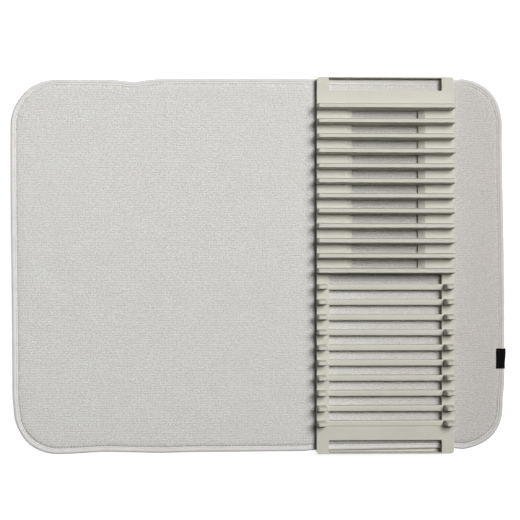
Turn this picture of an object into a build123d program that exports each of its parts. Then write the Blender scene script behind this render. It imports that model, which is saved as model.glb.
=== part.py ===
"""Dish drying mat with a clip-on rack, lying open and flat.

+X is the mat's long way, towards the rack's end of the mat. +Y is towards the back edge and
+Z is up. The origin is the centre of the mat's underside. Lengths are in millimetres.
"""
from build123d import *
import os

os.makedirs("parts", exist_ok=True)

# Mat: three layers inside a sewn edge binding
mat_length = 610.0
mat_depth = 457.2
mat_corner_radius = 58.0
backing_thickness = 0.7
foam_thickness = 4.2
top_cloth_thickness = 1.1
binding_width = 7.0
binding_drop = 0.8
seam_inset = 6.0
thread_width = 0.5
thread_height = 0.3
crease_gap = 0.2

# Side tag: sewn into the right-hand seam, lying on the binding
tag_width = 24.8
tag_overhang = 1.4
tag_thickness = 0.4
tag_from_front = 99.7

# Rack: one moulding that stands on the mat and clips round its two long edges
rack_width = 169.6
rack_right_margin = 63.8
rack_shift = 0.8
rack_lift = 0.3
rack_corner_radius = 3.5
plate_thickness = 7.5
end_plate_depth = 34.2
window_depth = 14.8
rail_width = 15.1
tray_plate_width = 35.7
ledge_width = 8.2
ledge_drop = 2.8

# Clips: a wall past the mat's edge and a lip under its hem
end_play = 1.6
clip_wall = 2.1
lip_thickness = 1.8
lip_depth = 14.0
lip_clearance = 0.3
lip_end_clearance = 0.4

# Ribs, pegs and crossbars
tooth_height = 15.5
tooth_wall = 1.6
tooth_top_radius = 3.0
tooth_plan_radius = 1.5
rib_count = 12
rib_width = 6.0
rib_zone_share = 0.5431
zone_gap = 13.5
bar_count = 10
bar_width = 7.0
bar_rise = 0.8
peg_length = 11.2
peg_setback = 1.0

# Folds: the mat's left part doubles over, then wraps up and over the rack
fold_lift = 0.3
spine_margin = 4.2
cover_clearance = 1.3
outer_tuck = 4.4

# One overrun for every cut
overrun = 1.0

# Heights of the mat's layers
foam_top = backing_thickness + foam_thickness
mat_top = foam_top + top_cloth_thickness
hem_bottom = lip_thickness + lip_clearance
binding_top = mat_top - binding_drop
thread_top = binding_top + thread_height
mat_half_length = mat_length / 2
mat_half_depth = mat_depth / 2

# The foam is full thickness only inside this margin, which leaves room for the clips' lips
hem_margin = lip_depth - end_play + rack_shift + lip_end_clearance

# Rack heights and outline, about the rack's own centre
plate_bottom = mat_top + rack_lift
plate_top = plate_bottom + plate_thickness
ledge_top = plate_top - ledge_drop
rack_top = plate_top + tooth_height
rack_half_width = rack_width / 2
wall_inner = mat_half_depth + end_play
rack_half_length = wall_inner + clip_wall
rail_inner = rack_half_width - rail_width
tray_inner = rack_half_width - tray_plate_width
ledge_inner = tray_inner - ledge_width
rack_x = mat_half_length - rack_right_margin - rack_half_width

# Rows of ribs from the back end plate, and rows of bars and pegs from the front one
end_plate_y = rack_half_length - end_plate_depth
rows_length = 2 * end_plate_y - zone_gap
rib_zone = rib_zone_share * rows_length
bar_zone = rows_length - rib_zone
tray_front_y = end_plate_y - rib_zone
rib_pitch = (rib_zone - rib_width) / (rib_count - 1)
bar_pitch = (bar_zone - bar_width) / (bar_count - 1)
rib_rows = [end_plate_y - rib_width / 2 - row * rib_pitch for row in range(rib_count)]
bar_rows = [-end_plate_y + bar_width / 2 + row * bar_pitch for row in range(bar_count)]
peg_width = bar_width - peg_setback
peg_inner = rack_half_width - peg_length
peg_centre = (peg_inner + rack_half_width) / 2

# Creases, counted from the rack: the spine is as long as the rack is tall
fold_height = mat_top + fold_lift
spine_crease = rack_x - rack_half_width - spine_margin
cover_crease = spine_crease - rack_top - cover_clearance
outer_length = (cover_crease + mat_half_length - outer_tuck) / 2
outer_crease = outer_length - mat_half_length

half_gap = crease_gap / 2
panels = {
    "outer": (-mat_half_length, outer_crease - half_gap),
    "middle": (outer_crease + half_gap, cover_crease - half_gap),
    "spine": (cover_crease + half_gap, spine_crease - half_gap),
    "base": (spine_crease + half_gap, mat_half_length),
}


def block(x_span, y_span, z_span):
    """A box between two places on each axis."""
    sizes = [high - low for low, high in (x_span, y_span, z_span)]
    corner = (Align.MIN, Align.MIN, Align.MIN)
    return Pos(x_span[0], y_span[0], z_span[0]) * Box(*sizes, align=corner)


def mat_prism(inset, z_span, x_span):
    """The mat's outline drawn in by inset, between two heights and two places along X."""
    bottom, top = z_span
    outline = RectangleRounded(mat_length - 2 * inset, mat_depth - 2 * inset, mat_corner_radius - inset)
    slab = Pos(0, 0, bottom) * extrude(outline, top - bottom)
    return slab & block(x_span, (-mat_half_depth, mat_half_depth), z_span)


def mat_ring(inset, width, z_span, x_span):
    """A band that follows the mat's outline, from inset inwards."""
    cut_span = (z_span[0] - overrun, z_span[1] + overrun)
    return mat_prism(inset, z_span, x_span) - mat_prism(inset + width, cut_span, x_span)


def top_cloth(x_span):
    """Flat terry cloth, as far as the binding."""
    return mat_prism(binding_width, (foam_top, mat_top), x_span)


def foam_core(x_span):
    """Foam with its underside cut back along the hem."""
    full = mat_prism(hem_margin + backing_thickness, (backing_thickness, foam_top), x_span)
    hem = mat_prism(binding_width, (hem_bottom + backing_thickness, foam_top), x_span)
    return full + hem


def backing_cloth(x_span):
    """The underside: flat on the worktop, stepping up over the hem."""
    floor = mat_prism(hem_margin, (0, hem_bottom + backing_thickness), x_span)
    hem = mat_prism(binding_width, (hem_bottom, hem_bottom + backing_thickness), x_span)
    room = (backing_thickness, hem_bottom + backing_thickness + overrun)
    return floor + hem - mat_prism(hem_margin + backing_thickness, room, x_span)


def edge_binding(x_span):
    """The tape round the edge, with the layers' ends inside it."""
    return mat_ring(0, binding_width, (hem_bottom, binding_top), x_span)


def seam_thread(x_span):
    """The line of stitches that holds the binding."""
    return mat_ring(seam_inset, thread_width, (binding_top, thread_top), x_span)


def side_tag():
    """A bare loop of tape that reaches past the right-hand edge."""
    x_span = (mat_half_length - binding_width, mat_half_length + tag_overhang)
    front = tag_from_front - mat_half_depth
    return block(x_span, (front, front + tag_width), (thread_top, thread_top + tag_thickness))


def rack_slab(y_span, z_span):
    """A slice of the rack's outline, with the outline's rounded corners."""
    bottom, top = z_span
    outline = RectangleRounded(rack_width, 2 * rack_half_length, rack_corner_radius)
    slab = Pos(0, 0, bottom) * extrude(outline, top - bottom)
    return slab & block((-rack_half_width, rack_half_width), y_span, z_span)


def end_plate():
    """The back plate, open behind its window as far as the clip's wall."""
    plate = rack_slab((end_plate_y, wall_inner), (plate_bottom, plate_top))
    window_y = (wall_inner - window_depth, wall_inner + overrun)
    return plate - block((-rail_inner, rail_inner), window_y, (plate_bottom - overrun, plate_top + overrun))


def mat_clip():
    """The back clip: a wall past the mat's edge and a lip under the hem."""
    wall = rack_slab((wall_inner, rack_half_length), (0, plate_top))
    return wall + block((-rail_inner, rail_inner), (wall_inner - lip_depth, wall_inner), (0, lip_thickness))


def tooth_room(x_span, width):
    """The hollow inside a rib or peg, open below, as the mould's core leaves it."""
    room_x = (x_span[0] + tooth_wall, x_span[1] - tooth_wall)
    half_room = width / 2 - tooth_wall
    return block(room_x, (-half_room, half_room), (plate_bottom - overrun, rack_top - tooth_wall))


def tooth_shell(x_span, width):
    """The outside of a rib or peg, above the plates, with rounded ends."""
    length = x_span[1] - x_span[0]
    plan = extrude(RectangleRounded(length, width, tooth_plan_radius), tooth_height)
    side_face = RectangleRounded(length, 2 * tooth_height, tooth_top_radius)
    side = extrude(Plane.XZ * side_face, width, both=True)
    return Pos(sum(x_span) / 2, 0, plate_top) * (plan & side)


def rib():
    """One full-width rib, reaching down between the tray plates."""
    x_span = (-rack_half_width, rack_half_width)
    y_span = (-rib_width / 2, rib_width / 2)
    between_ledges = block((-ledge_inner, ledge_inner), y_span, (plate_bottom, plate_top))
    over_ledges = block((-tray_inner, tray_inner), y_span, (ledge_top, plate_top))
    shell = tooth_shell(x_span, rib_width) + between_ledges + over_ledges
    return shell - tooth_room(x_span, rib_width)


def peg(side):
    """One peg, level with the rail's outer edge. side is 1 on the right and -1 on the left."""
    x_span = sorted((side * peg_inner, side * rack_half_width))
    return tooth_shell(x_span, peg_width) - tooth_room(x_span, peg_width)


def crossbar():
    """A low bar between the rails, with a crown that runs on to the pegs."""
    y_span = (-bar_width / 2, bar_width / 2)
    bar = block((-rail_inner, rail_inner), y_span, (plate_bottom, plate_top))
    return bar + block((-peg_inner, peg_inner), y_span, (plate_top, plate_top + bar_rise))


def peg_place(row_y):
    """A peg's centre, set back from the bar's front face."""
    return Pos(0, row_y + peg_setback / 2, 0)


def rail(side):
    """A side rail under the pegs, with the pegs' hollows running through it."""
    x_span = sorted((side * rail_inner, side * rack_half_width))
    solid = block(x_span, (-end_plate_y, tray_front_y), (plate_bottom, plate_top))
    peg_span = sorted((side * peg_inner, side * rack_half_width))
    for row_y in bar_rows:
        solid -= peg_place(row_y) * tooth_room(peg_span, peg_width)
    return solid


def tray_plate(side):
    """A wide plate under the ribs' ends, with a lower ledge along its inner edge."""
    y_span = (tray_front_y, end_plate_y)
    plate_x = sorted((side * tray_inner, side * rack_half_width))
    ledge_x = sorted((side * ledge_inner, side * tray_inner))
    solid = block(plate_x, y_span, (plate_bottom, plate_top))
    solid += block(ledge_x, y_span, (plate_bottom, ledge_top))
    for row_y in rib_rows:
        solid -= Pos(0, row_y, 0) * tooth_room((-rack_half_width, rack_half_width), rib_width)
    return solid


def rows(solid, places):
    """Copies of one solid at several places, as one group."""
    return Part() + [place * solid for place in places]


nodes = {}
for name, x_span in panels.items():
    nodes[name + "_top_cloth"] = top_cloth(x_span)
    nodes[name + "_foam_core"] = foam_core(x_span)
    nodes[name + "_backing_cloth"] = backing_cloth(x_span)
    nodes[name + "_edge_binding"] = edge_binding(x_span)
    nodes[name + "_seam_thread"] = seam_thread(x_span)
nodes["side_tag"] = side_tag()

rib_places = [Pos(0, row_y, 0) for row_y in rib_rows]
bar_places = [Pos(0, row_y, 0) for row_y in bar_rows]
peg_places = [peg_place(row_y) for row_y in bar_rows]
rack = {
    "rack_back_end_plate": end_plate(),
    "rack_front_end_plate": mirror(end_plate(), about=Plane.XZ),
    "rack_back_clip": mat_clip(),
    "rack_front_clip": mirror(mat_clip(), about=Plane.XZ),
    "rack_left_rail": rail(-1),
    "rack_right_rail": rail(1),
    "rack_left_tray_plate": tray_plate(-1),
    "rack_right_tray_plate": tray_plate(1),
    "rack_ribs": rows(rib(), rib_places),
    "rack_crossbars": rows(crossbar(), bar_places),
    "rack_left_pegs": rows(peg(-1), peg_places),
    "rack_right_pegs": rows(peg(1), peg_places),
}
for name, solid in rack.items():
    nodes[name] = Pos(rack_x, -rack_shift, 0) * solid

for name, solid in nodes.items():
    export_step(solid, f"parts/{name}.step")
print("fold height", round(fold_height, 3), "rack top", round(rack_top, 3))
print("creases", [round(place, 3) for place in (outer_crease, cover_crease, spine_crease)])
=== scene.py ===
import math

import bmesh
import bpy
import numpy as np
from mathutils import Matrix, Vector


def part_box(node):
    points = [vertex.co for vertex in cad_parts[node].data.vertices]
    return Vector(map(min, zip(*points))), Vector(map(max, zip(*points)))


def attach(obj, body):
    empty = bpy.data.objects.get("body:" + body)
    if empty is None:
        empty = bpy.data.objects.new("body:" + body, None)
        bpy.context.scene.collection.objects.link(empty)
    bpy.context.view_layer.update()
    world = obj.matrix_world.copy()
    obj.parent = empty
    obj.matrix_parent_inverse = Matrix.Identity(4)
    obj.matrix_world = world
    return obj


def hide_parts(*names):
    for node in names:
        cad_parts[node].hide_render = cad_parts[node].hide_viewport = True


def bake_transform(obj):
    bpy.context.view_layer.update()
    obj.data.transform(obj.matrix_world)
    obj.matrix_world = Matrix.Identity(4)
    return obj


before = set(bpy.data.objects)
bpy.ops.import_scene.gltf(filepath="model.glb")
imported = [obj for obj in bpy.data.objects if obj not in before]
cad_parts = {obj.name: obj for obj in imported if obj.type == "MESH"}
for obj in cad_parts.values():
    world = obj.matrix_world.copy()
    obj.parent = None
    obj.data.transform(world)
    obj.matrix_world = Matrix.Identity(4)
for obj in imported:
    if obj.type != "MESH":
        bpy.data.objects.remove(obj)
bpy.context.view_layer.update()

MM = 0.001
tiny = 1e-6
seed = 41

# The mat's sizes, read from the frame where it has them
half_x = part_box("base_edge_binding")[1].x
half_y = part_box("base_edge_binding")[1].y
mat_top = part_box("base_top_cloth")[1].z
hem_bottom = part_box("base_edge_binding")[0].z
corner_radius = 58 * MM


def crease(left, right):
    """The place along X where two panels meet."""
    return (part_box(left + "_top_cloth")[1].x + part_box(right + "_top_cloth")[0].x) / 2


outer_crease = crease("outer", "middle")
cover_crease = crease("middle", "spine")
spine_crease = crease("spine", "base")
left_cut = (outer_crease + cover_crease) / 2
right_cut = (cover_crease + spine_crease) / 2
fold_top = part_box("rack_left_rail")[0].z
bend_reach = 7 * MM

# The rack's sizes, counted from its middle
rail_low, rail_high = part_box("rack_right_rail")
tray_low, tray_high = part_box("rack_right_tray_plate")
clip_low, clip_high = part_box("rack_back_clip")
plate_low, plate_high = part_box("rack_back_end_plate")
front_clip_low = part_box("rack_front_clip")[0]
rack_x = (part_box("rack_left_rail")[0].x + rail_high.x) / 2
rack_y = (clip_high.y + front_clip_low.y) / 2
rack_half_width = rail_high.x - rack_x
rack_half_length = clip_high.y - rack_y
rail_inner = rail_low.x - rack_x
ledge_inner = tray_low.x - rack_x
ledge_width = 8.2 * MM
ledge_fall = 4.6 * MM
ledge_clear = 1.6 * MM
tray_inner = ledge_inner + ledge_width
tray_front = tray_low.y - rack_y
end_plate_y = tray_high.y - rack_y
wall_inner = plate_high.y - rack_y
window_depth = 14.8 * MM
lip_inner = clip_low.y - rack_y
lip_top = 1.8 * MM
plate_bottom, plate_top = rail_low.z, rail_high.z
tooth_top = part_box("rack_ribs")[1].z
rack_corner = 3.5 * MM
thin_wall = rack_corner * 0.4
rib_width = 6 * MM
rib_body = 6.8 * MM
rib_back = 0.1 * MM
bar_width = 7 * MM
bar_body = 7.6 * MM
bar_front = 0.25 * MM
peg_width = 6 * MM
peg_body = 6.5 * MM
rib_count = 12
bar_count = 10


def smooth(value):
    """0 below 0, 1 above 1, and an even curve between."""
    t = np.clip(value, 0, 1)
    return t * t * (3 - 2 * t)


def swells(x, y, size, key):
    """A gentle random surface between about -1 and 1, with swells of that size."""
    picks = np.random.default_rng(seed + key)
    total = np.zeros(np.broadcast(x, y).shape)
    waves = 14
    for _ in range(waves):
        turn, phase = picks.uniform(0, 2 * math.pi, 2)
        pace = 2 * math.pi / size * picks.uniform(0.6, 1.5)
        total += np.sin(pace * (x * math.cos(turn) + y * math.sin(turn)) + phase)
    return total / math.sqrt(waves)


def rounded(x, y, wide, deep, radius):
    """Draws a rectangle's grid into a rounded outline. Rings of the grid stay parallel to it."""
    from_side, from_end = wide - np.abs(x), deep - np.abs(y)
    inset = np.minimum(from_side, from_end)
    arc = np.maximum(radius - inset, 1e-9)
    share = np.clip((np.maximum(from_side, from_end) - inset) / arc, 0, 1)
    angle = math.pi / 4 * np.where(from_end <= from_side, 1 + share, 1 - share)
    new_x = np.sign(x) * (wide - radius + arc * np.cos(angle))
    new_y = np.sign(y) * (deep - radius + arc * np.sin(angle))
    corner = (from_side < radius) & (from_end < radius)
    return np.where(corner, new_x, x), np.where(corner, new_y, y)


def bump(place, at, width):
    """1 at a place, falling off evenly on both sides."""
    return np.exp(-(((place - at) / width) ** 2))


def climb(place, at, width):
    """0 as far as a place, rising to 1 over the width after it."""
    return smooth((place - at) / width)


# How the sewn outline wanders, in millimetres: (shape, place along the side, width, how far out).
# A climb at -400 comes before the side's start, so it moves the whole side.
back_wander = [
    (climb, -400, 1, -1.1),
    (bump, -290, 18, 1.8),
    (bump, -155, 15, -2.2),
    (climb, -150, 45, 1.9),
    (climb, -115, 150, 0.7),
    (climb, 52, 18, -0.6),
    (climb, 242, 14, 1.5),
    (bump, 300, 22, 2.5),
]
front_wander = [
    (climb, -400, 1, 2.4),
    (bump, -290, 20, 2.6),
    (bump, -245, 35, 1.9),
    (bump, -190, 22, -0.7),
    (bump, -120, 25, 1.0),
    (climb, -60, 120, -0.6),
    (climb, 56, 14, -1.2),
    (climb, 80, 160, -1.6),
    (climb, 242, 14, 1.6),
    (bump, 300, 20, 3.0),
]
left_wander = [
    (climb, -400, 1, -3.2),
    (bump, -176, 12, -1.3),
    (climb, -150, 290, 2.8),
    (climb, 185, 30, -1.2),
]
right_wander = [
    (climb, -400, 1, 0.9),
    (bump, -172, 18, -2.2),
    (climb, -50, 210, -2.8),
    (bump, 215, 25, 2.0),
]
wander_depth = 70 * MM


def wander(place, swellings):
    """How far out the outline goes at a place along one side."""
    return sum(out * MM * shape(place, at * MM, width * MM) for shape, at, width, out in swellings)


def relaxed(x, y):
    """The place of a point of the mat once the sewn edge has pulled it a little out of true."""
    back = smooth((y - half_y) / wander_depth + 1)
    front = smooth((-y - half_y) / wander_depth + 1)
    left = smooth((-x - half_x) / wander_depth + 1)
    right = smooth((x - half_x) / wander_depth + 1)
    new_x = x + right * wander(y, right_wander) - left * wander(y, left_wander)
    new_y = y + back * wander(x, back_wander) - front * wander(x, front_wander)
    return new_x, new_y


def eased(points):
    """Points of a piece on the mat, moved along with its outline."""
    points = np.array(points)
    points[:, 0], points[:, 1] = relaxed(points[:, 0], points[:, 1])
    return points


def steps(start, end, spacing):
    """Even places from start up to, not including, end."""
    count = max(1, round((end - start) / spacing))
    return [start + (end - start) * k / count for k in range(count)]


def places(half, insets, spacing, marks):
    """Places across the mat: close together along the edges and at the marks."""
    inner = half - insets[-1]
    stops = {-inner, inner}
    for at, reach in marks:
        stops |= {at - reach, at, at + reach}
    stops = sorted(stops)
    made = [inset - half for inset in insets[:-1]]
    for start, end in zip(stops, stops[1:]):
        near = any(abs((start + end) / 2 - at) < reach for at, reach in marks)
        made += steps(start, end, spacing / 2 if near else spacing)
    return np.array(made + [half - inset for inset in insets[::-1]])


def new_piece(name, points, faces):
    """A smoothly shaded mesh object from points and faces."""
    mesh = bpy.data.meshes.new(name)
    mesh.from_pydata(np.asarray(points, float).tolist(), [], faces)
    mesh.polygons.foreach_set("use_smooth", [True] * len(mesh.polygons))
    mesh.update()
    piece = bpy.data.objects.new(name, mesh)
    bpy.context.scene.collection.objects.link(piece)
    return piece


def tube(first, count, ring):
    """The faces of a closed tube of count rings, whose points start at first."""
    faces = []
    for k in range(count - 1):
        for m in range(ring):
            a, b = first + k * ring + m, first + k * ring + (m + 1) % ring
            faces.append((a, b, b + ring, a + ring))
    last = first + (count - 1) * ring
    faces.append(tuple(range(first + ring - 1, first - 1, -1)))
    faces.append(tuple(range(last, last + ring)))
    return faces


def keep(piece, name, values):
    """Stores three values for each of a piece's points."""
    made = piece.data.attributes.new(name, "FLOAT_VECTOR", "POINT")
    made.data.foreach_set("vector", np.float32(values).ravel())


def keep_place(piece):
    """Stores where each point lies at rest, so that a pattern stays on the cloth as it folds."""
    keep(piece, "rest_place", [point.co for point in piece.data.vertices])


def dress(piece, made_of):
    """Gives a piece its material."""
    piece.data.materials.append(made_of)


# Node helpers. A Mix node's colours have these places among its sockets
mix_first = 6
mix_second = 7
mix_result = 2


def tree_of(name):
    """A new material, its node tree and its shader."""
    made = bpy.data.materials.new(name)
    made.use_nodes = True
    return made, made.node_tree, made.node_tree.nodes["Principled BSDF"]


def add(tree, kind, inputs=(), **settings):
    """A node with its settings and inputs. An input is a value or another node's output."""
    made = tree.nodes.new("ShaderNode" + kind)
    for name, value in settings.items():
        setattr(made, name, value)
    for name, value in dict(inputs).items():
        if isinstance(value, bpy.types.NodeSocket):
            tree.links.new(value, made.inputs[name])
        else:
            made.inputs[name].default_value = value
    return made


def maths(tree, operation, *values):
    """The output of a Math node."""
    return add(tree, "Math", enumerate(values), operation=operation).outputs[0]


def ramp(tree, factor, low, high, start=0.0, end=1.0):
    """A colour from low to high as factor goes from start to end."""
    made = add(tree, "ValToRGB", {"Fac": factor})
    first, last = made.color_ramp.elements
    first.position, first.color = start, (*low, 1)
    last.position, last.color = end, (*high, 1)
    return made.outputs["Color"]


def tinted(tree, colour, tint, factor):
    """A colour multiplied by a tint, as far as factor says."""
    if not isinstance(tint, bpy.types.NodeSocket):
        tint = (*tint, 1)
    inputs = {"Factor": factor, mix_first: colour, mix_second: tint}
    return add(tree, "Mix", inputs, data_type="RGBA", blend_type="MULTIPLY").outputs[mix_result]


def rest_millimetres(tree):
    """A cloth point's place at rest, in millimetres."""
    source = add(tree, "Attribute", attribute_name="rest_place").outputs["Vector"]
    return add(tree, "VectorMath", {0: source, "Scale": 1 / MM}, operation="SCALE").outputs[0]


def object_millimetres(tree):
    """A rigid piece's own coordinates, in millimetres."""
    source = add(tree, "TexCoord").outputs["Object"]
    return add(tree, "VectorMath", {0: source, "Scale": 1 / MM}, operation="SCALE").outputs[0]


def noise(tree, vector, scale, detail=3.0):
    """The grey output of a noise of that many cells per millimetre."""
    inputs = {"Vector": vector, "Scale": scale, "Detail": detail, "Roughness": 0.6}
    return add(tree, "TexNoise", inputs).outputs[0]


def bumped(tree, shader, height, distance):
    """Relief of that depth on a shader."""
    made = add(tree, "Bump", {"Height": height, "Distance": distance, "Strength": 1.0})
    tree.links.new(made.outputs["Normal"], shader.inputs["Normal"])


def stripes(tree, value, pitch):
    """A sine from 0 to 1 along a value in millimetres."""
    turned = maths(tree, "SINE", maths(tree, "MULTIPLY", value, 2 * math.pi / pitch))
    return maths(tree, "MULTIPLY_ADD", turned, 0.5, 0.5)


def fade(tree, value, start, end, low=0.0, high=1.0):
    """low as far as start, high from end on, and even between. The end may lie below the start."""
    inputs = {"Value": value, "From Min": start, "From Max": end, "To Min": low, "To Max": high}
    return add(tree, "MapRange", inputs).outputs[0]


def weighed(tree, *pairs):
    """The sum of several outputs, each times its weight."""
    total = 0.0
    for value, weight in pairs:
        total = maths(tree, "MULTIPLY_ADD", value, weight, total)
    return total


def apart(tree, vector):
    """A vector's three parts."""
    return add(tree, "SeparateXYZ", {0: vector}).outputs


def seam_parts(tree):
    """A point's inset from the mat's edge and its place along the edge, in millimetres."""
    return apart(tree, add(tree, "Attribute", attribute_name="seam_place").outputs["Vector"])


def on_line(tree, inset, line, outer, inner):
    """1 along the line at that inset, fading out on both sides from inner to outer."""
    off = maths(tree, "ABSOLUTE", maths(tree, "SUBTRACT", inset, line / MM))
    return fade(tree, off, outer, inner)


def painted(tree, shader, colour, constants):
    """Links the colour, and sets each constant on the shader's own socket."""
    tree.links.new(colour, shader.inputs["Base Color"])
    for name, value in constants.items():
        shader.inputs[name].default_value = value


# The cloth's and the tape's patterns and painted shade: places and widths in millimetres
row_pitch = 3.09
column_pitch = 3.2
row_sway = 1.6
cloth_shade_turn = (60.0, 170.0)
hole_shade_front = (-140.0, -210.0)
hole_shade_elsewhere = 0.35
hole_shade_reach = (1.1, 0.3)
hole_shade_sharpness = 2.5
tape_shade_turn = (100.0, 250.0)
front_shade_stretch = (-150.0, -215.0)
groove_shade_reach = (1.0, 0.3)
rim_shade_reach = (1.2, 0.4)
rim_shade_share = 0.6
front_rim_shade_reach = (2.4, 1.0)
weave_pitch = 0.7
backing_pitch = 1.1


def terry():
    """Microfibre terry: short loops in faint rows, with painted shade in the needle's holes along the seam
    and painted shade towards the mat's right.
    """
    made, tree, shader = tree_of("terry")
    at = rest_millimetres(tree)
    place = apart(tree, at)
    wavy = add(tree, "TexNoise", {"Vector": at, "Scale": 0.08, "Detail": 2.0}).outputs["Color"]
    shift = add(tree, "VectorMath", {0: wavy, "Scale": row_sway}, operation="SCALE").outputs[0]
    swayed = add(tree, "VectorMath", {0: at, 1: shift}, operation="ADD").outputs[0]
    columns = stripes(tree, apart(tree, swayed)[0], column_pitch)
    rows = stripes(tree, apart(tree, swayed)[1], row_pitch)
    grid = weighed(tree, (columns, 0.2), (rows, 0.8))
    cells = {"Vector": swayed, "Scale": 0.85, "Randomness": 0.7}
    loops = add(tree, "TexVoronoi", cells).outputs["Distance"]
    fibres = noise(tree, at, 1.5, 4.0)
    lumps = noise(tree, at, 0.5, 0.0)
    height = weighed(tree, (loops, -0.35), (grid, 0.2), (fibres, 0.9), (lumps, 0.3))
    shade = weighed(tree, (loops, -0.15), (grid, 0.055), (fibres, 0.78), (lumps, 0.25))
    base = ramp(tree, shade, (0.37, 0.366, 0.354), (0.86, 0.856, 0.845), 0.238, 0.838)
    patches = noise(tree, at, 0.03, 2.0)
    hue = ramp(tree, patches, (0.99, 1.0, 0.993), (1.0, 0.988, 0.984), 0.35, 0.65)
    # painted shade: the cloth's colour darkens towards the mat's right
    cloth_right_shade = ramp(tree, fade(tree, place[0], *cloth_shade_turn), (1.0, 1.0, 1.0), (0.88, 0.86, 0.857))
    right_shaded = tinted(tree, tinted(tree, base, cloth_right_shade, 1.0), hue, 1.0)
    inset, along, _ = seam_parts(tree)
    # painted shade: dark dots in the needle's holes along the seam, strongest along the front edge
    hole_shade = maths(tree, "POWER", stripes(tree, along, stitch_pitch / MM), hole_shade_sharpness)
    hole_shade = maths(tree, "MULTIPLY", hole_shade, fade(tree, place[1], *hole_shade_front, hole_shade_elsewhere))
    hole_shade = maths(tree, "MULTIPLY", hole_shade, on_line(tree, inset, hole_inset, *hole_shade_reach))
    # the dark colour of the painted shade in the needle's holes
    colour = tinted(tree, right_shaded, (0.42, 0.41, 0.4), hole_shade)
    constants = {"Roughness": 0.95, "Specular IOR Level": 0.15, "Sheen Weight": 0.12}
    painted(tree, shader, colour, constants)
    bumped(tree, shader, height, 0.5 * MM)
    return made


def tape(name, low, high, sheen=0.08, gloss=0.12):
    """A smooth woven tape with painted shade: darker along its outer rim and along the front, and on the
    mat's right darker overall and in a groove.
    """
    made, tree, shader = tree_of(name)
    at = rest_millimetres(tree)
    place = apart(tree, at)
    weave = stripes(tree, maths(tree, "ADD", place[0], place[1]), weave_pitch)
    fibres = noise(tree, at, 2.2, 3.0)
    patches = noise(tree, at, 0.06, 3.0)
    shade = weighed(tree, (fibres, 0.5), (patches, 0.5))
    # painted shade: the tape darker towards the mat's right
    right = fade(tree, place[0], *tape_shade_turn)
    front = fade(tree, place[1], *front_shade_stretch)
    inset = seam_parts(tree)[0]
    # painted shade: a dark line in the groove beside the crown, on the mat's right only
    groove_shade = maths(tree, "MULTIPLY", on_line(tree, inset, groove_shade_inset, *groove_shade_reach), right)
    # painted shade: the tape darker along its outer rim, where it turns away from the light
    rim_shade = maths(tree, "MULTIPLY", fade(tree, inset, *rim_shade_reach), rim_shade_share)
    # painted shade: a wider dark rim along the front, which faces away from the light
    front_rim_shade = maths(tree, "MULTIPLY", fade(tree, inset, *front_rim_shade_reach), front)
    colour = tinted(tree, ramp(tree, shade, low, high, 0.3, 0.7), (0.96, 0.955, 0.95), right)
    colour = tinted(tree, colour, (0.83, 0.83, 0.825), maths(tree, "MAXIMUM", groove_shade, rim_shade))
    colour = tinted(tree, colour, (0.84, 0.84, 0.835), front_rim_shade)
    constants = {"Roughness": 0.72, "Specular IOR Level": gloss, "Sheen Weight": sheen}
    painted(tree, shader, colour, constants)
    bumped(tree, shader, weighed(tree, (weave, 0.4), (fibres, 1.0)), 0.12 * MM)
    return made


def thread():
    """Twisted sewing thread."""
    made, tree, shader = tree_of("thread")
    twist = noise(tree, rest_millimetres(tree), 2.5, 2.0)
    colour = ramp(tree, twist, (0.66, 0.65, 0.635), (0.84, 0.83, 0.82), 0.3, 0.7)
    painted(tree, shader, colour, {"Roughness": 0.6})
    bumped(tree, shader, twist, 0.1 * MM)
    return made


def backing():
    """A plain close weave for the underside."""
    made, tree, shader = tree_of("backing")
    at = rest_millimetres(tree)
    across, along = [stripes(tree, part, backing_pitch) for part in apart(tree, at)[:2]]
    weave = maths(tree, "MULTIPLY", across, along)
    shade = weighed(tree, (weave, 0.4), (noise(tree, at, 1.8, 3.0), 1.0))
    colour = ramp(tree, shade, (0.44, 0.43, 0.41), (0.60, 0.59, 0.57), 0.3, 0.9)
    painted(tree, shader, colour, {"Roughness": 0.9, "Specular IOR Level": 0.2})
    bumped(tree, shader, shade, 0.25 * MM)
    return made


def foam():
    """Open-cell foam."""
    made, tree, shader = tree_of("foam")
    at = rest_millimetres(tree)
    cells = add(tree, "TexVoronoi", {"Vector": at, "Scale": 1.2}).outputs["Distance"]
    painted(tree, shader, ramp(tree, cells, (0.5, 0.49, 0.45), (0.78, 0.77, 0.72)), {"Roughness": 1.0})
    bumped(tree, shader, cells, 0.4 * MM)
    return made


def plastic():
    """Matte moulded plastic with a fine grain and faint flow marks."""
    made, tree, shader = tree_of("plastic")
    at = object_millimetres(tree)
    grain = noise(tree, at, 1.4, 3.0)
    stretched = add(tree, "Mapping", {"Vector": at, "Scale": (0.35, 1.0, 1.0)}).outputs[0]
    flow = noise(tree, stretched, 0.035, 3.0)
    base = ramp(tree, flow, (0.468, 0.46, 0.402), (0.503, 0.498, 0.44), 0.3, 0.7)
    fine = ramp(tree, grain, (0.97, 0.97, 0.97), (1.0, 1.0, 1.0), 0.3, 0.7)
    painted(tree, shader, tinted(tree, base, fine, 1.0), {"Specular IOR Level": 0.25})
    tree.links.new(fade(tree, flow, 0.0, 1.0, 0.52, 0.64), shader.inputs["Roughness"])
    bumped(tree, shader, grain, 0.03 * MM)
    return made


seam_inset = 5.9 * MM
hole_inset = 7.1 * MM
groove_shade_inset = 4.7 * MM
stitch_pitch = 3.9 * MM
terry_cloth = terry()
binding_tape = tape("binding_tape", (0.52, 0.512, 0.505), (0.64, 0.632, 0.628))
tag_tape = tape("tag_tape", (0.002, 0.002, 0.0022), (0.006, 0.006, 0.0065), 0.0, 0.03)
seam_thread = thread()
backing_cloth = backing()
foam_rubber = foam()
rack_plastic = plastic()

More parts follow.
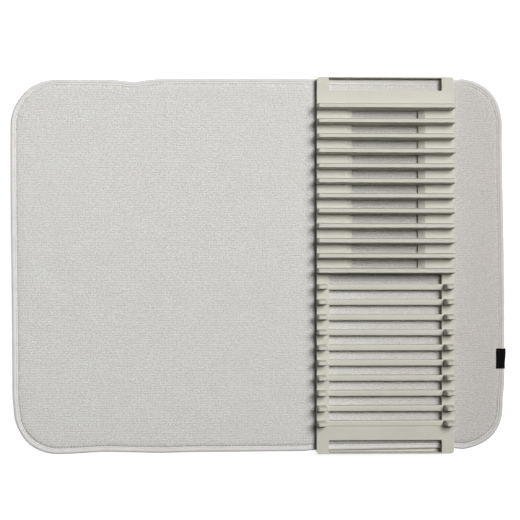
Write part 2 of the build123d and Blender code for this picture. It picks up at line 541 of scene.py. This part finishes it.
# The mat's layers as fine grids
cloth_insets = [x * MM for x in (5.9, 6.4, 7.0, 7.7, 8.2, 8.7, 9.3, 10.1, 11.2, 12.6, 14.2, 16)]
backing_insets = [x * MM for x in (6.8, 8, 9.5, 11, 12, 12.6, 13.2, 13.8, 14.4, 15, 16)]
cloth_step = 2 * MM
backing_step = 4 * MM
foam_step = 6 * MM
seam_height = 4.5 * MM
tape_edge = 6.3 * MM
puff_width = 3.4 * MM
puff_tail = 9 * MM
puff_share = 0.6
slack_lift = 0.55 * MM
seam_reach = 12 * MM
far_off = 99.0
crease_marks = [(at, bend_reach) for at in (outer_crease, cover_crease, spine_crease)]
cut_marks = [(left_cut, 4 * MM), (right_cut, 3 * MM)]
spans = {"left": (-half_x, left_cut), "middle": (left_cut, right_cut), "right": (right_cut, half_x)}

# The relief of the terry, the backing and the foam
pad_swell = 0.12 * MM
pad_swell_size = 55 * MM
pad_inset = 8 * MM
pad_width = 20 * MM
fine_swell = 0.015 * MM
fine_swell_size = 9 * MM
fibre_height = 0.02 * MM
gather_height = 0.1 * MM
press_x = -113 * MM
press_width = 3 * MM
press_height = 0.16 * MM
press_gap = 60 * MM
wrinkle_x = -150 * MM
wrinkle_y = 205 * MM
wrinkle_turn = (0.93, 0.36)
wrinkle_length = 20 * MM
wrinkle_width = 2.6 * MM
wrinkle_height = 0.2 * MM
rack_clearance = 0.06 * MM
hem_inset = 11.9 * MM
hem_slope = 2.6 * MM
hem_cover = 0.1 * MM
under_gap = 0.02 * MM
under_swell = 0.03 * MM
under_swell_size = 30 * MM
foam_cover = 0.9 * MM
foam_low = 0.8 * MM
foam_hem_inset = 12.2 * MM
foam_hem_slope = 2.8 * MM
foam_hem_cover = 0.2 * MM


def edge_path(spacing):
    """Points round the mat's edge, from the back's left end: (x, y, outward x and y, length so far)."""
    straight_x, straight_y = half_x - corner_radius, half_y - corner_radius
    arc_steps = round(math.pi / 2 * corner_radius / spacing)
    marks = [at for at, _ in crease_marks + cut_marks]
    back = sorted([-straight_x, *marks, straight_x])
    run = []
    for start, end in zip(back, back[1:]):
        run += steps(start, end, spacing)
    run = [*run, straight_x]
    side_run = [*steps(-straight_y, straight_y, spacing), straight_y]
    path = [(x, half_y, 0.0, 1.0) for x in run]
    corners = [(straight_x, straight_y, 90), (straight_x, -straight_y, 0)]
    corners += [(-straight_x, -straight_y, -90), (-straight_x, straight_y, -180)]
    sides = [[(half_x, y, 1.0, 0.0) for y in side_run[::-1]], [(x, -half_y, 0.0, -1.0) for x in run[::-1]]]
    sides += [[(-half_x, y, -1.0, 0.0) for y in side_run], []]
    for (cx, cy, start), side in zip(corners, sides):
        for k in range(1, arc_steps):
            angle = math.radians(start - 90 * k / arc_steps)
            c, s = math.cos(angle), math.sin(angle)
            path.append((cx + corner_radius * c, cy + corner_radius * s, c, s))
        path += side
    path = np.array(path)
    reach = np.hypot(*np.diff(path[:, :2], axis=0, append=path[:1, :2]).T)
    return np.column_stack([path, np.concatenate([[0], np.cumsum(reach)[:-1]])]), reach.sum()


path_spacing = 1.6 * MM
edge, edge_length = edge_path(path_spacing)


def mat_grid(insets, spacing):
    """The plan places of a layer's grid, with each point's inset from the mat's edge."""
    across = places(half_x, insets, spacing, crease_marks + cut_marks)
    along = places(half_y, insets, spacing, [])
    x, y = np.meshgrid(across, along, indexing="ij")
    inset = np.minimum(half_x - np.abs(x), half_y - np.abs(y))
    x, y = rounded(x, y, half_x, half_y, corner_radius)
    return across, x, y, inset


def seam_places(x, y, inset):
    """(Inset, place along the edge, 0) of the points near the seam, in millimetres."""
    places_there = np.full((*x.shape, 3), far_off)
    near = inset < seam_reach
    reach = np.argmin((x[near][:, None] - edge[:, 0]) ** 2 + (y[near][:, None] - edge[:, 1]) ** 2, axis=1)
    found = edge[reach]
    along = found[:, 4] + (x[near] - found[:, 0]) * found[:, 3] - (y[near] - found[:, 1]) * found[:, 2]
    places_there[near] = np.stack([inset[near], along, 0 * along], -1) / MM
    return places_there


def cut_columns(across):
    """Each piece's name with its first and last column in the grid."""
    cuts = [int(np.argmin(abs(across - at))) for at in (left_cut, right_cut)]
    return zip(spans, [0, *cuts], [*cuts, len(across) - 1])


def layer(name, insets, spacing, height, facing):
    """A layer of the mat in three pieces, cut where the cloth lies flat between two creases."""
    across, x, y, inset = mat_grid(insets, spacing)
    z = height(x, y, inset)
    seam = seam_places(x, y, inset)
    x, y = relaxed(x, y)
    points = np.stack([x, y, z], -1)
    rows = points.shape[1]
    pieces = []
    for side, start, end in cut_columns(across):
        part = points[start : end + 1].reshape(-1, 3)
        faces = []
        for i in range(end - start):
            for j in range(rows - 1):
                a, b = i * rows + j, (i + 1) * rows + j
                faces.append((a, b, b + 1, a + 1)[::facing])
        pieces.append(new_piece(f"{name}_{side}", part, faces))
        keep(pieces[-1], "seam_place", seam[start : end + 1])
    return pieces


def puff(inset):
    """How far the pad has risen from its seam: quickly at first, then slowly."""
    near = smooth((inset - tape_edge) / puff_width)
    return puff_share * near + (1 - puff_share) * smooth((inset - tape_edge) / puff_tail)


def seam_lift(y):
    """How much higher the seam lies away from the front edge, where it is pulled tightest."""
    return slack_lift * (1 - smooth((-y - half_y) / wander_depth + 1))


def top_height(x, y, inset):
    """The terry's upper face: puffed up from the seam, and not quite flat."""
    rise = puff(inset)
    near = smooth((inset - tape_edge) / puff_width)
    seam = seam_height + seam_lift(y)
    z = seam + (mat_top - seam) * rise
    z = z + smooth((inset - pad_inset) / pad_width) * pad_swell * swells(x, y, pad_swell_size, 1)
    z = z + rise * fine_swell * swells(x, y, fine_swell_size, 2)
    gather = np.sin(2 * math.pi * (x + y) / stitch_pitch) * 4 * near * (1 - near)
    z = z + gather_height * gather
    pressed = bump(x, press_x, press_width) * smooth((np.abs(y) - press_gap) / press_gap)
    z = z + press_height * pressed * rise
    turn_x, turn_y = wrinkle_turn
    along = (x - wrinkle_x) * turn_x - (y - wrinkle_y) * turn_y
    off = (x - wrinkle_x) * turn_y + (y - wrinkle_y) * turn_x
    z = z + wrinkle_height * bump(along, 0, wrinkle_length) * bump(off, 0, wrinkle_width) * rise
    picks = np.random.default_rng(seed)
    z = z + rise * fibre_height * picks.standard_normal(z.shape)
    return np.minimum(z, fold_top - rack_clearance)


def under_height(x, y, inset):
    """The backing's lower face: on the worktop, with the hem held up off it."""
    lift = 1 - smooth((inset - hem_inset) / hem_slope)
    swell = under_swell * np.abs(swells(x, y, under_swell_size, 3))
    return under_gap + lift * (hem_bottom + hem_cover) + swell


top_pieces = layer("top_cloth", cloth_insets, cloth_step, top_height, 1)
under_pieces = layer("backing_cloth", backing_insets, backing_step, under_height, -1)


def foam_layer():
    """The foam core in three closed pieces, rounded off along the hem."""
    insets = [x * MM for x in (8, 9, 10.2, 12.2, 14, 15, 16)]
    across, x, y, inset = mat_grid(insets, foam_step)
    high = seam_height + (mat_top - seam_height) * puff(inset) - foam_cover
    lift = 1 - smooth((inset - foam_hem_inset) / foam_hem_slope)
    low = foam_low + lift * (hem_bottom + foam_hem_cover)
    x, y = relaxed(x, y)
    rows = x.shape[1]
    ring = 2 * rows
    pieces = []
    for side, start, end in cut_columns(across):
        span = slice(start, end + 1)
        lower = np.stack([x[span], y[span], low[span]], -1)
        upper = np.stack([x[span], y[span], high[span]], -1)
        points = np.concatenate([lower, upper[:, ::-1]], 1).reshape(-1, 3)
        faces = tube(0, end - start + 1, ring)[:-2]
        for j in range(rows - 1):
            quad = (j, ring - 1 - j, ring - 2 - j, j + 1)
            faces += [quad, tuple((end - start) * ring + k for k in quad[::-1])]
        pieces.append(new_piece(f"foam_core_{side}", points, faces))
    return pieces


foam_pieces = foam_layer()


def runs_between(path, low, high):
    """The stretches of the closed path between two places along X, each as a list of indices."""
    inside = (path[:, 0] >= low - tiny) & (path[:, 0] <= high + tiny)
    stretches = []
    for start in range(len(path)):
        if inside[start] and not inside[start - 1]:
            run = [start]
            while inside[(run[-1] + 1) % len(path)]:
                run.append((run[-1] + 1) % len(path))
            stretches.append(run)
    return stretches


# The binding's section as (inset, height): over the crown, round the edge, under the hem and back inside
crown = [(6.5, 4.62), (6.3, 4.8), (5.9, 4.92), (5.4, 4.96), (5.0, 4.84), (4.6, 4.8), (4.2, 4.98)]
crown += [(3.8, 5.24), (3.3, 5.4), (2.2, 5.43)]
bow = [(1.5, 5.36), (0.9, 5.24), (0.45, 5.02), (0.15, 4.65), (0.02, 4.2), (0.0, 3.7), (0.2, 3.05)]
bow += [(0.9, 2.45), (2.2, 2.18), (4.5, 2.12), (7.6, 2.12)]
lining = [(7.6, 2.5), (4.5, 2.5), (2.2, 2.6), (1.0, 3.2), (0.8, 3.8), (1.2, 4.5), (2.5, 5.02)]
lining += [(3.4, 4.98), (4.7, 4.5), (5.9, 4.42), (6.5, 4.35)]
binding_section = [(inset * MM, z * MM) for inset, z in crown + bow + lining]
mid_height = 3.5 * MM
crown_rise = 2.2 * MM
ripple_height = 0.05 * MM
ripple_length = 3 * stitch_pitch
ripple_drift = 1.7
drift_length = 43 * MM
pucker_height = 0.11 * MM
pucker_length = 5.2 * MM
corner_ease = 20 * MM
cap_angle = 60


def lifted(z, y):
    """A height on the edge binding once the seam's lift has raised the upper side."""
    return z + seam_lift(y) * np.clip((z - mid_height) / MM, 0, 1)


def corner_share(x, y):
    """1 in the mat's corners, where the tape is eased round, and 0 along its sides."""
    into_x = smooth((np.abs(x) - half_x + corner_radius) / corner_ease)
    into_y = smooth((np.abs(y) - half_y + corner_radius) / corner_ease)
    return into_x * into_y


def binding(side):
    """One stretch of the tape, or two where it runs along both long edges."""
    points, seam, faces = [], [], []
    for stretch in runs_between(edge, *spans[side]):
        first = len(points)
        for k in stretch:
            x, y, out_x, out_y, along = edge[k]
            ease = corner_share(x, y)
            drift = ripple_drift * math.sin(along / drift_length)
            ripple = ripple_height * math.sin(2 * math.pi * along / ripple_length + drift)
            pucker = ease * pucker_height * math.sin(2 * math.pi * along / pucker_length)
            for inset, z in binding_section:
                lift = (ripple + pucker) * max(0.0, (z - mid_height) / crown_rise)
                points.append((x - inset * out_x, y - inset * out_y, lifted(z, y) + lift))
                seam.append((inset / MM, along / MM, 0.0))
        faces += tube(first, len(stretch), len(binding_section))
    piece = new_piece(f"edge_binding_{side}", eased(points), faces)
    keep(piece, "seam_place", seam)
    piece.data.set_sharp_from_angle(angle=math.radians(cap_angle))
    return piece


binding_pieces = [binding(side) for side in spans]

# Stitches as short grains of thread in the seam
stitch_length = 2.8 * MM
thread_radius = 0.36 * MM
thread_rise = 0.5 * MM
under_thread_rise = 0.2 * MM
sunk_ends = 1.2
inset_shake = 0.12 * MM
tilt_shake = 0.07
height_shake = 0.05 * MM
tag_step = 0.55 * MM
grain_sides = 6
grain_shares = (0.0, 0.18, 0.5, 0.82, 1.0)
grain_bulges = (0.35, 0.85, 1.0, 0.85, 0.35)
tag_low, tag_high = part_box("side_tag")


def grain(centre, direction, up):
    """The points of one stitch, lying along direction."""
    side = np.cross(up, direction)
    made = []
    for share, bulge in zip(grain_shares, grain_bulges):
        middle = centre + direction * (share - 0.5) * stitch_length
        middle = middle - up * thread_radius * sunk_ends * abs(2 * share - 1) ** 2
        for k in range(grain_sides):
            angle = 2 * math.pi * k / grain_sides
            made.append(middle + thread_radius * bulge * (side * math.cos(angle) + up * math.sin(angle)))
    return made


def stitches(side, height, turned):
    """The seam's stitches between two cuts, on the upper face or, turned over, on the lower one."""
    picks = np.random.default_rng(seed + 7)
    low, high = spans[side]
    count = round(edge_length / stitch_pitch)
    up = np.array([0.0, 0.0, -1.0 if turned else 1.0])
    points, faces = [], []
    for n in range(count):
        shake = picks.normal(0, 1, 3)
        at = (n + 0.5) * edge_length / count
        x, y, out_x, out_y = (np.interp(at, edge[:, 4], edge[:, k]) for k in range(4))
        if not low <= x < high or at > edge[-1, 4]:
            continue
        inset = seam_inset + inset_shake * shake[0]
        tilt = tilt_shake * shake[1]
        direction = np.array([out_y + tilt * out_x, -out_x + tilt * out_y, 0.0])
        direction /= np.linalg.norm(direction)
        over_tag = not turned and x > half_x - corner_radius and tag_low.y < y < tag_high.y
        z = height + (0 if turned else seam_lift(y)) + (tag_step if over_tag else 0)
        z += height_shake * shake[2]
        faces += tube(len(points), len(grain_shares), grain_sides)
        points += grain(np.array([x - inset * out_x, y - inset * out_y, z]), direction, up)
    name = "under_stitches" if turned else "seam_stitches"
    return new_piece(f"{name}_{side}", eased(points), faces)


thread_pieces = [stitches(side, seam_height + thread_rise, False) for side in spans]
under_threads = [stitches(side, hem_bottom + under_thread_rise, True) for side in spans]


def side_tag():
    """A bare tape folded over the mat's edge and caught in the seam, a little askew."""
    route = [(10.5, 5.8), (9.6, 5.9), (8.4, 5.6), (7.3, 5.0), (6.2, 5.1), (4.8, 5.6), (3.0, 5.9)]
    route += [(1.4, 5.8), (0.4, 5.3), (-0.6, 4.6), (-1.0, 3.8), (-0.7, 2.9), (0.4, 2.2), (1.8, 1.8)]
    route += [(4.0, 1.7), (7.0, 1.75)]
    half_thickness = 0.22 * MM
    askew = 0.9 * MM
    edge_wave = 0.25 * MM
    loose_reach = 8 * MM
    columns = 14
    shares = [k / columns - 0.5 for k in range(columns + 1)]
    width = tag_high.y - tag_low.y
    middle = (tag_high.y + tag_low.y) / 2
    route = [Vector((half_x - inset * MM, lifted(z * MM, middle))) for inset, z in route]
    points = []
    for k, at in enumerate(route):
        ahead = route[min(k + 1, len(route) - 1)] - route[max(k - 1, 0)]
        normal = Vector((-ahead.y, ahead.x)).normalized()
        loose = smooth((at.x - half_x) / loose_reach + 1)
        for offset in (half_thickness, -half_thickness):
            for share in shares[:: 1 if offset < 0 else -1]:
                skew = askew * share + edge_wave * math.sin(7 * share)
                x = at.x + normal.x * offset + skew * loose
                points.append((float(x), middle + width * share, at.y + normal.y * offset))
    faces = tube(0, len(route), 2 * len(shares))
    return new_piece("side_tag_loop", eased(points), faces)


tag = side_tag()


# The rack: one frame of plates, rails and clips, and the teeth and bars that stand on it
def frame_cell(x, y):
    """What stands at a place of the rack's plan: (bottom, top towards the middle, top away from it)."""
    out, far = abs(x), abs(y)
    if far > (wall_inner if out > rail_inner else rack_half_length - thin_wall):
        return 0.0, plate_top, plate_top
    if out < rail_inner and far > wall_inner - window_depth:
        return (0.0, lip_top, lip_top) if far > lip_inner else None
    if out > rail_inner or far > end_plate_y:
        return plate_bottom, plate_top, plate_top
    if y < tray_front or out < ledge_inner:
        return None
    if out > tray_inner:
        return plate_bottom, plate_top, plate_top
    return plate_bottom + ledge_clear, plate_top - ledge_fall, plate_top


def cell_solid(xs, ys, cell):
    """A closed mesh over a plan grid, as (points, faces)."""
    cells, levels, points, faces, index = {}, {}, [], [], {}
    for i, (x0, x1) in enumerate(zip(xs, xs[1:])):
        for j, (y0, y1) in enumerate(zip(ys, ys[1:])):
            found = cell((x0 + x1) / 2, (y0 + y1) / 2)
            if found:
                bottom, inner, outer = found
                west, east = (outer, inner) if x0 + x1 < 0 else (inner, outer)
                cells[i, j] = (bottom, west, east)
                for k in (j, j + 1):
                    levels.setdefault((i, k), set()).update((bottom, west))
                    levels.setdefault((i + 1, k), set()).update((bottom, east))

    def point(corner, z):
        key = (*corner, round(z, 7))
        if key not in index:
            index[key] = len(points)
            points.append((xs[corner[0]], ys[corner[1]], z))
        return index[key]

    def wall(a, b, low, high_a, high_b):
        if max(high_a, high_b) <= low + tiny:
            return
        up = [z for z in sorted(levels[b]) if low - tiny <= z <= high_b + tiny]
        down = [z for z in sorted(levels[a], reverse=True) if low - tiny <= z <= high_a + tiny]
        faces.append([point(b, z) for z in up] + [point(a, z) for z in down])

    for (i, j), (bottom, west, east) in cells.items():
        a, b, c, d = (i, j), (i + 1, j), (i + 1, j + 1), (i, j + 1)
        faces.append([point(a, west), point(b, east), point(c, east), point(d, west)])
        faces.append([point(d, bottom), point(c, bottom), point(b, bottom), point(a, bottom)])
        around = [
            (a, b, (i, j - 1), west, east, lambda n: (n[1], n[2])),
            (b, c, (i + 1, j), east, east, lambda n: (n[1], n[1])),
            (c, d, (i, j + 1), east, west, lambda n: (n[2], n[1])),
            (d, a, (i - 1, j), west, west, lambda n: (n[2], n[2])),
        ]
        for start, end, beside, top_a, top_b, their_tops in around:
            if beside not in cells:
                wall(start, end, bottom, top_a, top_b)
                continue
            other = cells[beside]
            if other[0] > bottom:
                wall(start, end, bottom, min(other[0], top_a), min(other[0], top_b))
            beside_a, beside_b = their_tops(other)
            if top_a > beside_a + tiny or top_b > beside_b + tiny:
                wall(start, end, max(beside_a, bottom), top_a, top_b)
    return points, faces


crease_angle = 30
lengthwise_angle = 8
shading_angle = 35
edge_round = 0.4 * MM
corner_round = 1.2 * MM


def lengthwise(a, b):
    """True for a level edge that runs along the rack."""
    return abs(a.co.x - b.co.x) < tiny and abs(a.co.z - b.co.z) < tiny


def upright(a, b):
    """True for an edge straight up, from the plates' underside or above."""
    straight = math.hypot(a.co.x - b.co.x, a.co.y - b.co.y) < tiny
    low, high = sorted((a.co.z, b.co.z))
    return straight and low > plate_bottom - tiny and high > plate_top - tiny


def bevelled(mesh, chosen, offset, segments):
    """Rounds the edges where two faces meet at a sharp angle, as far as chosen says."""
    found = []
    for line in mesh.edges:
        least = math.radians(lengthwise_angle if lengthwise(*line.verts) else crease_angle)
        if len(line.link_faces) == 2 and line.calc_face_angle(0) > least and chosen(*line.verts):
            found.append(line)
    bmesh.ops.bevel(mesh, geom=found, offset=offset, segments=segments, profile=0.5, affect="EDGES")


def reshaped(piece, bevels=()):
    """Rounds a piece's edges, turns its faces outwards and shades it evenly."""
    mesh = bmesh.new()
    mesh.from_mesh(piece.data)
    for chosen, offset, segments in bevels:
        bevelled(mesh, chosen, offset, segments)
    bmesh.ops.recalc_face_normals(mesh, faces=mesh.faces)
    mesh.to_mesh(piece.data)
    mesh.free()
    piece.data.polygons.foreach_set("use_smooth", [True] * len(piece.data.polygons))
    piece.data.set_sharp_from_angle(angle=math.radians(shading_angle))
    weighted = piece.modifiers.new("even", "WEIGHTED_NORMAL")
    weighted.keep_sharp = True


def mirrored(values):
    """Values and their negatives, in order and each once."""
    return sorted({round(sign * value, 9) for value in values for sign in (-1, 1)})


lip_middle = rail_inner + 4 * MM
lip_reach = 6 * MM
lip_root = 1 * MM


def rack_frame():
    """Plates with their windows, rails, ledges and the clips round the mat's edge."""
    corner_cuts = [rack_corner * share for share in (1.0, 0.62, 0.4, 0.18)]
    xs = [rack_half_width, rail_inner, tray_inner, ledge_inner]
    xs = mirrored([*xs, *[rack_half_width - c for c in corner_cuts]])
    ends = [rack_half_length - c for c in corner_cuts]
    ys = mirrored([rack_half_length, wall_inner, wall_inner - window_depth, lip_inner, end_plate_y, *ends])
    ys = sorted([*ys, tray_front])
    points, faces = cell_solid(xs, ys, frame_cell)
    for side in (-1, 1):
        for end in (-1, 1):
            faces += tube(len(points), 2, 4)
            for z in (lip_top, 0.0):
                for x, y in ((-1, -1), (1, -1), (1, 1), (-1, 1)):
                    at_x = lip_middle + x * lip_reach
                    at_y = lip_inner if y < 0 else wall_inner + lip_root
                    points.append((side * at_x, end * at_y, z))
    x, y, z = np.array(points).T
    x, y = rounded(x, y, rack_half_width, rack_half_length, rack_corner)
    piece = new_piece("rack_frame", np.stack([x, y, z], -1), faces)
    reshaped(piece, [(upright, corner_round, 4), (lambda a, b: True, edge_round, 2)])
    return piece


def tooth(x_start, x_end, width, bottom, top, inner_draft=0.0):
    """A hollow tooth open below, as (points, faces). inner_draft spreads the foot at its inner end."""
    end_round, plan_round = 3.0 * MM, 1.5 * MM
    wall, lean, quarter = 1.5 * MM, 0.25 * MM, math.pi / 2
    draft_reach = 6 * MM
    widest = 0.98
    front_shoulder = [(0, 4.2), (0.2, 2.7), (0.42, 1.6), (0.64, 0.8), (0.84, 0.33), (1.04, 0.08), (1.24, 0)]
    back_shoulder = [(0, 7.0), (0.45, 5.2), (0.85, 3.6), (1.15, 2.4), (1.4, 1.4), (1.6, 0.7), (1.8, 0.25)]
    back_shoulder += [(2.05, 0.05), (2.3, 0)]
    arc = [end_round * (1 - math.cos(quarter * k / 6)) for k in range(7)]

    def section(x, gap, shrink):
        """One cross-section, gap from the nearer end."""
        half = width / 2 - shrink - (plan_round - math.sqrt(plan_round**2 - max(plan_round - gap, 0) ** 2))
        high = top - shrink - (end_round - math.sqrt(end_round**2 - max(end_round - gap, 0) ** 2))
        sides = []
        for shoulder in (front_shoulder, back_shoulder):
            narrow = min(1.0, half * widest / (shoulder[-1][0] * MM))
            line = [(half + lean, bottom), (half + lean / 2, (bottom + high) / 2)]
            line += [(half - narrow * across * MM, high - down * MM) for across, down in shoulder]
            sides.append(line)
        made = [(-y, z) for y, z in sides[0]] + sides[1][::-1]
        rows = []
        for y, z in made:
            depth = min((tooth_top - z) / (tooth_top - plate_top), 1.0)
            rows.append((x - inner_draft * depth * (1 - min(gap / draft_reach, 1.0)), y, z))
        return rows

    def skin(shrink):
        """The sections along the tooth, shrunk evenly for the inside."""
        start, end = x_start + shrink, x_end - shrink
        made = [(start + gap, gap) for gap in arc] + [(end - gap, gap) for gap in arc[::-1]]
        middle = (start + end) / 2
        rows = []
        for x, gap in made:
            drafted = section(x, gap, shrink)
            if x > middle:
                drafted = [(x, y, z) for _, y, z in drafted]
            rows.append(drafted)
        return rows

    rows = [outer + inner[::-1] for outer, inner in zip(skin(0.0), skin(wall))]
    ring = len(rows[0])
    faces = tube(0, len(rows), ring)[:-2]
    for end, turn in ((0, -1), ((len(rows) - 1) * ring, 1)):
        outer = list(range(end, end + ring // 2))
        inner = list(range(end + ring // 2, end + ring))
        faces += [outer[::turn], inner[::turn], [outer[0], outer[-1], inner[0], inner[-1]][::turn]]
    return [point for row in rows for point in row], faces


def crossbar(x_start, x_end, bottom, top):
    """A low bar with a softly crowned top, as (points, faces)."""
    half = bar_body / 2
    shares = [(-1.0, 0.0), (-1.0, 0.74), (-0.95, 0.87), (-0.84, 0.95), (-0.68, 0.99), (-0.4, 1.0)]
    shares += [(0.0, 1.0)] + [(-y, z) for y, z in shares[::-1]]
    section = [(half * y, bottom + (top - bottom) * z) for y, z in shares]
    points = [(x, y, z) for x in (x_start, x_end) for y, z in section]
    return points, tube(0, 2, len(section))


def row_places(node, width, count):
    """The rows of a group of equal pieces, counted from the rack's middle."""
    low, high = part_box(node)
    first, last = high.y - width / 2 - rack_y, low.y + width / 2 - rack_y
    return [first + (last - first) * k / (count - 1) for k in range(count)]


def group(name, shape, rows):
    """One mesh object from copies of a shape at several rows."""
    points, faces = [], []
    for row in rows:
        first = len(points)
        points += [(x, y + row, z) for x, y, z in shape[0]]
        faces += [tuple(k + first for k in face) for face in shape[1]]
    piece = new_piece(name, points, faces)
    reshaped(piece)
    return piece


def peg_shape(side):
    """A peg whose inner face leans, for the right side or, mirrored, the left."""
    outer = rack_half_width - peg_end_gap
    points, faces = tooth(peg_inner, outer, peg_body, foot, tooth_top, peg_draft)
    return [(side * x, y, z) for x, y, z in points], faces


peg_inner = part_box("rack_right_pegs")[0].x - rack_x
peg_end_gap = 0.4 * MM
peg_draft = 2.2 * MM
bar_overlap = 3 * MM
foot = plate_bottom + 0.05 * MM
rib_rows = [row + rib_back for row in row_places("rack_ribs", rib_width, rib_count)]
bar_rows = [row - bar_front for row in row_places("rack_crossbars", bar_width, bar_count)]
peg_rows = row_places("rack_right_pegs", peg_width, bar_count)
bar_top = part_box("rack_crossbars")[1].z
bar_end = peg_inner + bar_overlap
rib_end = rack_half_width - 0.2 * MM
rib_shape = tooth(-rib_end, rib_end, rib_body, foot, tooth_top)
frame_parts = [f"{end}_{part}" for part in ("end_plate", "clip") for end in ("back", "front")]
frame_parts += [f"{side}_{part}" for part in ("rail", "tray_plate") for side in ("left", "right")]
rack_pieces = {
    rack_frame(): [f"rack_{part}" for part in frame_parts],
    group("ribs", rib_shape, rib_rows): ["rack_ribs"],
    group("crossbars", crossbar(-bar_end, bar_end, foot, bar_top), bar_rows): ["rack_crossbars"],
    group("left_pegs", peg_shape(-1), peg_rows): ["rack_left_pegs"],
    group("right_pegs", peg_shape(1), peg_rows): ["rack_right_pegs"],
}
for piece, nodes in rack_pieces.items():
    piece.location = (rack_x, rack_y, 0)
    dress(piece, rack_plastic)
    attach(piece, "rack")
    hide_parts(*nodes)

# What each soft piece is made of, which panels it joins and which nodes it stands for
soft_layers = [
    (top_pieces, terry_cloth, "terry_cloth", "top_cloth"),
    (under_pieces, backing_cloth, "backing_cloth", "backing_cloth"),
    (foam_pieces, foam_rubber, "foam", "foam_core"),
    (binding_pieces, binding_tape, "binding_tape", "edge_binding"),
    (thread_pieces, seam_thread, "seam_thread", "seam_thread"),
    (under_threads, seam_thread, "seam_thread", ""),
]
joins = [
    ("outer_panel", "middle_panel", outer_crease, ["outer"]),
    ("middle_panel", "spine_panel", cover_crease, ["middle", "spine"]),
    ("spine_panel", "base_panel", spine_crease, ["base"]),
]
for pieces, made_of, slot, node in soft_layers:
    for piece, (before, after, at, panels) in zip(pieces, joins):
        keep_place(piece)
        dress(piece, made_of)
        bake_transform(piece)
        if node:
            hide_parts(*[f"{panel}_{node}" for panel in panels])
keep_place(tag)
dress(tag, tag_tape)
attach(tag, "base_panel")
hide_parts("side_tag")


# Stage, light and camera
floor_grey = (0.3, 0.3, 0.3)
floor_glow = 0.9
floor_half = 6.0
ambient_light = 0.01


def seen_directly(tree):
    """1 where the camera, a reflection or a look through glass meets the surface."""
    seen = add(tree, "LightPath")
    direct = maths(tree, "MAXIMUM", seen.outputs["Is Camera Ray"], seen.outputs["Is Glossy Ray"])
    return maths(tree, "MAXIMUM", direct, seen.outputs["Is Transmission Ray"])


def floor_material():
    """White to the camera, with the object's shadow kept."""
    made, tree, shader = tree_of("floor")
    shader.inputs["Base Color"].default_value = (*floor_grey, 1)
    shader.inputs["Roughness"].default_value = 0.9
    shader.inputs["Specular IOR Level"].default_value = 0.0
    strength = maths(tree, "MULTIPLY", seen_directly(tree), floor_glow)
    glow = add(tree, "Emission", {"Color": (1, 1, 1, 1), "Strength": strength})
    both = add(tree, "AddShader", {0: shader.outputs[0], 1: glow.outputs[0]})
    tree.links.new(both.outputs[0], tree.nodes["Material Output"].inputs["Surface"])
    return made


def world_light(ambient):
    """An even pale surround, white where it is seen directly."""
    world = bpy.data.worlds.new("surround")
    bpy.context.scene.world = world
    world.use_nodes = True
    tree = world.node_tree
    strength = maths(tree, "MULTIPLY_ADD", seen_directly(tree), 1 - ambient, ambient)
    tree.links.new(strength, tree.nodes["Background"].inputs["Strength"])
    tree.nodes["Background"].inputs["Color"].default_value = (1, 1, 1, 1)


def area_light(name, place, target, sizes, power, colour, spread=180):
    """A soft light with sizes along X and Y, turned to a target. Spread is its beam in degrees."""
    data = bpy.data.lights.new(name, "AREA")
    data.shape = "RECTANGLE"
    data.size, data.size_y = sizes
    data.energy = power
    data.color = colour
    data.spread = math.radians(spread)
    lamp = bpy.data.objects.new(name, data)
    bpy.context.scene.collection.objects.link(lamp)
    lamp.location = place
    back = (Vector(place) - Vector(target)).normalized()
    right = Vector((0, 1, 0)).cross(back).normalized()
    lamp.rotation_euler = Matrix((right, back.cross(right), back)).transposed().to_euler()


corners = [(x * floor_half, y * floor_half, 0) for x, y in ((-1, -1), (1, -1), (1, 1), (-1, 1))]
floor = new_piece("floor", corners, [(0, 1, 2, 3)])
floor.data.materials.append(floor_material())
world_light(ambient_light)
area_light("key", (1.14, 0.97, 2.57), (-1.05, 0.1, 0.0), (1.35, 1.4), 43, (1.0, 0.99, 0.98), 95)
area_light("fill", (-1.6, 1.2, 2.2), (-0.1, 0.0, 0.0), (1.2, 1.2), 2.8, (0.98, 1.0, 1.0))

image_width = 520
focal_pixels = 1210.7
sensor = 36
camera_data = bpy.data.cameras.new("camera")
camera_data.sensor_width = sensor
camera_data.lens = sensor * focal_pixels / image_width
camera_data.clip_start = 0.05
camera = bpy.data.objects.new("camera", camera_data)
bpy.context.scene.collection.objects.link(camera)
camera.location = (-0.0429, -0.0044, 1.5)
camera.rotation_euler = (math.radians(0.38), math.radians(-1.72), math.radians(0.03))
bpy.context.scene.camera = camera
bpy.context.scene.view_settings.view_transform = "Standard"
